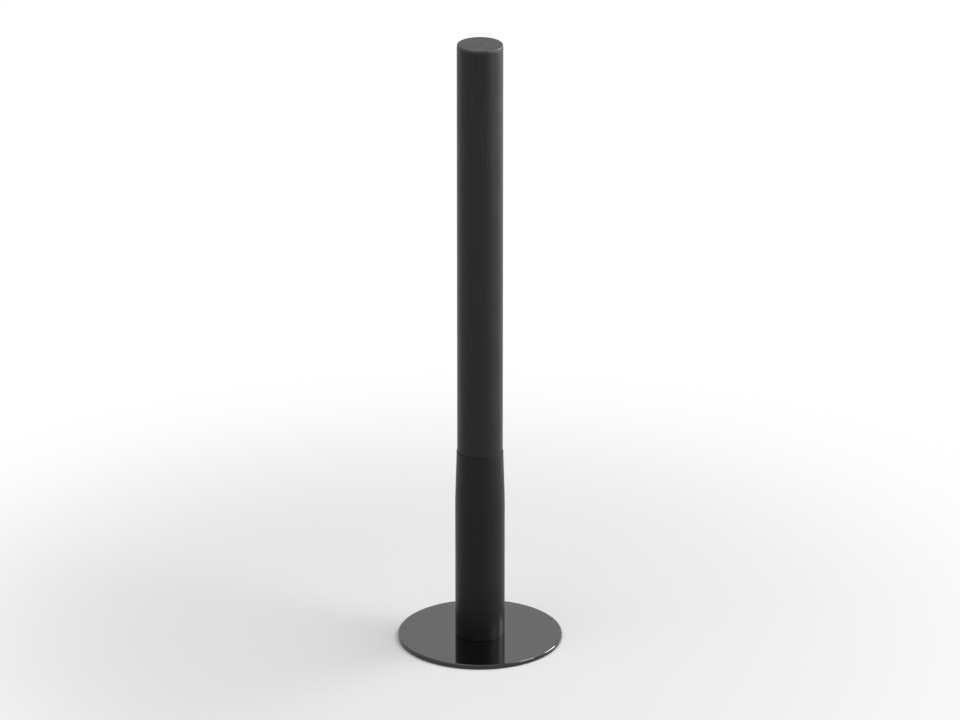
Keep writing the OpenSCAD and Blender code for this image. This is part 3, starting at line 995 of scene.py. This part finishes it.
class SPEAKER_POLE_OT_spindle_plug(PoleStep, Operator):
    """Turned plug in the foot of the upper tube, bored for the spindle and its pins"""

    bl_idname = "speaker_pole.spindle_plug"
    bl_label = "Spindle Plug"

    def execute(self, context):
        shape = context.scene.pole_shape
        flange, low, high = span("spindle_plug")
        bore, ledge = SPINDLE_R + SEAT_CLEAR, low + PLUG_FLANGE_T
        plug = lathed([
            (bore, low, 0.3), (flange, low, 0.3), (flange, ledge, 0.1),
            (PRESSED_R, ledge, 0.1), (PRESSED_R, high, 0.6), (bore, high, 0.3),
        ], shape.columns, step=6.0)
        make_piece("turned_spindle_plug", "spindle_plug", [plug], pin_holes())
        return {"FINISHED"}


class SPEAKER_POLE_OT_cross_pins(PoleStep, Operator):
    """Two crossed pins with rounded ends through the tube, its plug and the spindle"""

    bl_idname = "speaker_pole.cross_pins"
    bl_label = "Cross Pins"

    def execute(self, context):
        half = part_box("cross_pins")[1].x / MM
        pin = rod(PIN_R, -half, half, PIN_COLUMNS, edge=0.5)
        make_piece("crossed_pins", "cross_pins", crossed(pin))
        return {"FINISHED"}


class SPEAKER_POLE_OT_lock_spindle(PoleStep, Operator):
    """Spindle whose thread drives the cone nut, tapped below and pinned above"""

    bl_idname = "speaker_pole.lock_spindle"
    bl_label = "Lock Spindle"

    def execute(self, context):
        shape = context.scene.pole_shape
        _, low, high = span("lock_spindle")
        top = span("expander_sleeve")[2] - SLEEVE_RING_H
        hole_top = low + SPINDLE_HOLE_DEPTH
        angles, rows = thread_angles(shape), shape.thread_rows
        bore = tapped(END_SCREW_R, END_SCREW_PITCH, low, hole_top, angles, rows, sink=0.3)
        thread = screw_thread(SPINDLE_R, SPINDLE_PITCH, low, top, angles, rows, SPINDLE_BEVEL,
                              root=top, run=-SPINDLE_PITCH)
        shank = side_of([(SPINDLE_R, top, 0), (SPINDLE_R, high - SPINDLE_BEVEL, 0.2),
                         (SPINDLE_R - SPINDLE_BEVEL, high, 0.2), (0, high, 0)])
        stretches = [plain([(0, hole_top)]), bore, thread, shank, plain([(0, high)])]
        make_piece("threaded_spindle", "lock_spindle", [shell(stretches, angles, closed=False)],
                   pin_holes())
        return {"FINISHED"}


class SPEAKER_POLE_OT_flat_washers(PoleStep, Operator):
    """Plastic washer above the lock's sleeve and steel washer under it"""

    bl_idname = "speaker_pole.flat_washers"
    bl_label = "Flat Washers"

    def execute(self, context):
        columns = context.scene.pole_shape.columns
        make_ring("plastic_washer", "thrust_washer", SPINDLE_R + HOLE_CLEAR, columns, edge=0.15)
        make_ring("steel_washer", "end_washer", END_SCREW_R + HOLE_CLEAR, columns, edge=0.3)
        return {"FINISHED"}


class SPEAKER_POLE_OT_expander_sleeve(PoleStep, Operator):
    """Slotted sleeve with a conical inside and a groove for the drag ring"""

    bl_idname = "speaker_pole.expander_sleeve"
    bl_label = "Expander Sleeve"

    def execute(self, context):
        shape = context.scene.pole_shape
        outer, low, high = span("expander_sleeve")
        slot_top, bore = high - SLEEVE_RING_H, SPINDLE_R + SLIDE_CLEAR
        middle, half_groove = high - SLEEVE_RING_H / 2, CORD_R + SEAT_CLEAR
        under, over = middle - half_groove, middle + half_groove
        cone_top_r = SLEEVE_MOUTH_R - (slot_top - low) * CONE_SLOPE
        body = lathed([
            (SLEEVE_MOUTH_R, low, 0.3), (outer, low, 0.4), (outer, under, 0.1),
            (CORD_SEAT_R, under, 0.2), (CORD_SEAT_R, over, 0.2), (outer, over, 0.1),
            (outer, high, 0.3), (bore, high, 0.2), (bore, slot_top, 0.2),
            (cone_top_r, slot_top, 0.4),
        ], shape.columns, step=6.0)
        sides, ends = (-SLEEVE_SLOT_W / 2, SLEEVE_SLOT_W / 2), (low - CUT_PAST, slot_top)
        x, y, z = np.meshgrid(SLOT_REACH, sides, ends, indexing="ij")
        corners = np.stack([x, y, z], axis=-1).reshape(-1, 3)
        faces = np.array([[0, 1, 3, 2], [4, 6, 7, 5], [0, 4, 5, 1], [2, 3, 7, 6],
                          [0, 2, 6, 4], [1, 5, 7, 3]])
        make_piece("slotted_sleeve", "expander_sleeve", [body],
                   [around((corners, faces), SLOT_COUNT, 0.0)])
        return {"FINISHED"}


class SPEAKER_POLE_OT_cone_nut(PoleStep, Operator):
    """Cone on the spindle's thread with four keys that run in the sleeve's slots"""

    bl_idname = "speaker_pole.cone_nut"
    bl_label = "Cone Nut"

    def execute(self, context):
        shape = context.scene.pole_shape
        _, low, high = span("cone_nut")
        turn, half = TURN / SLOT_COUNT, CONE_KEY_W / 2
        tip, foot = np.arctan2(half, CONE_KEY_R), np.arcsin(half / CONE_KEY_ROOT_R)
        marks = (-tip, tip, foot, turn - foot, turn - tip)
        quarter = np.interp(np.arange(KEY_COLUMNS[-1]), KEY_COLUMNS, marks)
        angles = (quarter + np.arange(SLOT_COUNT)[:, None] * turn).ravel()
        # A key's flat end is its reach over the cosine of the angle from its middle, and its
        # flat sides are half its width over the sine. The key or the cone is further out.
        from_key = (angles + turn / 2) % turn - turn / 2
        side = half / np.maximum(np.abs(np.sin(from_key)), TINY)
        key = np.minimum(CONE_KEY_R / np.cos(from_key), side)
        height = np.concatenate([
            [low, low + CONE_BEVEL], np.linspace(low + CONE_END, high - CONE_END, CONE_ROWS),
            [high - CONE_BEVEL, high]])[:, None]
        cone = CONE_R - (height - low) * CONE_SLOPE
        inward = np.minimum(height - low, high - height)
        radius = np.maximum(cone, key) - np.clip(CONE_BEVEL - inward, 0, CONE_BEVEL)
        bore = tapped(SPINDLE_R + SLIDE_CLEAR - SEAT_CLEAR, SPINDLE_PITCH, low, high, angles,
                      shape.thread_rows, sink=0.5)
        surface = shell([(radius, height), bore], angles, closed=True)
        make_piece("brass_cone_nut", "cone_nut", [surface])
        return {"FINISHED"}


class SPEAKER_POLE_OT_end_screw(PoleStep, Operator):
    """Socket screw with a rounded head in the spindle's lower end"""

    bl_idname = "speaker_pole.end_screw"
    bl_label = "End Screw"

    def execute(self, context):
        shape = context.scene.pole_shape
        _, low, high = span("end_screw")
        angles = angles_of(END_SCREW_COLUMNS)
        seat = low + END_HEAD_H
        socket = key_socket(angles, END_KEY, low, END_KEY_DEPTH, mouth=0.15, point=0.5)
        head = side_of([(0, low, 0), (END_HEAD_R, low, 1.2), (END_HEAD_R, seat, 0.12),
                        (END_SCREW_R, seat, 0), (END_SCREW_R, high, 0)])
        thread = screw_thread(
            END_SCREW_R, END_SCREW_PITCH, seat + END_SCREW_NECK, high, angles, shape.thread_rows,
            END_SCREW_BEVEL, root=seat + END_SCREW_PITCH, run=END_SCREW_PITCH)
        screw = shell([socket, head, thread, plain([(0, high)])], angles, closed=False)
        make_piece("socket_end_screw", "end_screw", [screw])
        return {"FINISHED"}


def seen_rays(tree):
    """1 for what the camera, a mirror or glass sees, and 0 for light that falls on surfaces."""
    path = add(tree, "LightPath").outputs
    mirrored = arithmetic(tree, "MAXIMUM", path["Is Glossy Ray"], path["Is Transmission Ray"])
    return arithmetic(tree, "MAXIMUM", path["Is Camera Ray"], mirrored)


def floor_material(stage):
    """Pale floor that fades to white away from the pole, and can be looked through from below."""
    material, tree, place = start_material("pale_floor")
    away = add(tree, "VectorMath", {0: place}, operation="LENGTH").outputs["Value"]
    fade = add(tree, "MapRange", {
        "Value": away, "From Min": FADE_START, "From Max": stage.floor_fade},
        interpolation_type="SMOOTHERSTEP").outputs["Result"]
    paint = add(tree, "BsdfDiffuse", {"Color": (*stage.floor_tone, 1.0)})
    white = add(tree, "Emission", {"Color": WHITE, "Strength": 1.0})
    top = add(tree, "MixShader", {
        0: arithmetic(tree, "MULTIPLY", fade, seen_rays(tree)),
        1: paint.outputs["BSDF"], 2: white.outputs["Emission"]})
    below = add(tree, "BsdfTransparent")
    both = add(tree, "MixShader", {
        0: add(tree, "NewGeometry").outputs["Backfacing"],
        1: top.outputs["Shader"], 2: below.outputs["BSDF"]})
    add(tree, "OutputMaterial", {"Surface": both.outputs["Shader"]})
    return material


def make_floor(stage):
    """Round floor, a hair under the pad, with an opening that the pad covers."""
    opening = span("base_pad")[0] - OPENING_MARGIN
    rims = np.concatenate([[opening], np.geomspace(*FLOOR_RIMS, FLOOR_ROWS)])[::-1]
    outline = np.stack([rims, 0 * rims - FLOOR_DROP], axis=1)
    surface = turned(outline, FLOOR_COLUMNS, closed=False)
    floor = make_object("pale_floor", mesh_of("pale_floor", [surface]))
    floor.data.materials.append(floor_material(stage))


def make_room(scene, stage):
    """Even light from all around, which the camera and mirrors see as white."""
    world = bpy.data.worlds.new("soft_room")
    scene.world = world
    tree = empty_tree(world)
    light = add(tree, "Background", {"Color": WHITE, "Strength": stage.room_light})
    white = add(tree, "Background", {"Color": WHITE, "Strength": 1.0})
    both = add(tree, "MixShader", {
        0: seen_rays(tree), 1: light.outputs["Background"], 2: white.outputs["Background"]})
    add(tree, "OutputWorld", {"Surface": both.outputs["Shader"]})


def make_lamp(name, turn, rise, width, height, power):
    """Soft lamp that faces the pole's lower half from a turn and a rise in degrees."""
    data = bpy.data.lights.new(name, "AREA")
    data.shape, data.size, data.size_y, data.energy = "RECTANGLE", width, height, power
    made = make_object(name, data)
    turn, rise = radians(turn), radians(rise)
    back = Vector((sin(turn) * cos(rise), -cos(turn) * cos(rise), sin(rise)))
    made.location = Vector((0.0, 0.0, LAMP_AIM_HEIGHT)) + back * LAMP_REACH
    made.rotation_euler = (-back).to_track_quat("-Z", "Y").to_euler()
    made.visible_camera = False
    return made


def make_lamps(stage):
    """Lamp high on the right, lamp above the left, and two low ones that only gloss mirrors."""
    turn = np.degrees(stage.camera_turn)
    make_lamp("key_lamp", turn + 96, rise=50, width=1.8, height=1.3, power=stage.key_power)
    for name, side, share in (("rim_lamp", 112, 1.0), ("side_lamp", 67, 0.5)):
        strip = make_lamp(name, turn + side, rise=9, width=0.9, height=0.6,
                          power=share * stage.rim_power)
        strip.visible_diffuse = False
    make_lamp("top_lamp", turn - 50, rise=64, width=1.6, height=1.6, power=stage.top_power)


def make_camera(scene, stage):
    """Camera at its turn, reach and height that looks at the pole's axis."""
    camera = make_object("camera", bpy.data.cameras.new("camera"))
    camera.data.lens = stage.focal_length
    camera.data.clip_end = CAMERA_SIGHT
    camera.location = (
        sin(stage.camera_turn) * stage.camera_reach,
        -cos(stage.camera_turn) * stage.camera_reach, stage.camera_height)
    aim = Vector((0.0, 0.0, stage.aim_height)) - camera.location
    camera.rotation_euler = aim.to_track_quat("-Z", "Y").to_euler()
    scene.camera = camera


class SPEAKER_POLE_OT_stage(PoleStep, Operator):
    """Pale floor with an opening under the disc for the stud, soft light and the camera"""

    bl_idname = "speaker_pole.stage"
    bl_label = "Stage"

    def execute(self, context):
        scene, stage = context.scene, context.scene.pole_stage
        make_floor(stage)
        make_room(scene, stage)
        make_lamps(stage)
        make_camera(scene, stage)
        scene.view_settings.view_transform = "Standard"
        return {"FINISHED"}


# The operators in the order of the file
OPERATORS = PoleStep.__subclasses__()


class SPEAKER_POLE_PT_panel(Panel):
    """Sizes and finishes of the pole, and a button for each piece"""

    bl_idname = "SPEAKER_POLE_PT_panel"
    bl_label = "Speaker Pole"
    bl_space_type = "VIEW_3D"
    bl_region_type = "UI"
    bl_category = "Speaker Pole"

    def draw(self, context):
        scene = context.scene
        for title, group in (("Shape", scene.pole_shape), ("Finish", scene.pole_finish),
                             ("Stage", scene.pole_stage)):
            box = self.layout.box()
            box.label(text=title)
            for name in group.__annotations__:
                box.prop(group, name)
        for operator in OPERATORS:
            self.layout.operator(operator.bl_idname)


CLASSES = (PoleShape, PoleFinish, PoleStage, *OPERATORS, SPEAKER_POLE_PT_panel)


def register():
    """Register the classes and give each scene its settings."""
    for cls in CLASSES:
        bpy.utils.register_class(cls)
    bpy.types.Scene.pole_shape = PointerProperty(type=PoleShape)
    bpy.types.Scene.pole_finish = PointerProperty(type=PoleFinish)
    bpy.types.Scene.pole_stage = PointerProperty(type=PoleStage)


def unregister():
    """Take away the scenes' settings and the classes."""
    del bpy.types.Scene.pole_stage, bpy.types.Scene.pole_finish, bpy.types.Scene.pole_shape
    for cls in reversed(CLASSES):
        bpy.utils.unregister_class(cls)


def main():
    """Build every piece and the stage."""
    register()
    build = bpy.ops.speaker_pole
    build.base_disc()
    build.rubber_rings()
    build.disc_screws()
    build.mount_stud()
    build.foot_plug()
    build.lock_washer()
    build.stud_nut()
    build.lower_tube()
    build.upper_tube()
    build.top_cap()
    build.spindle_plug()
    build.cross_pins()
    build.lock_spindle()
    build.flat_washers()
    build.expander_sleeve()
    build.cone_nut()
    build.end_screw()
    build.stage()


if __name__ == "__main__":
    main()
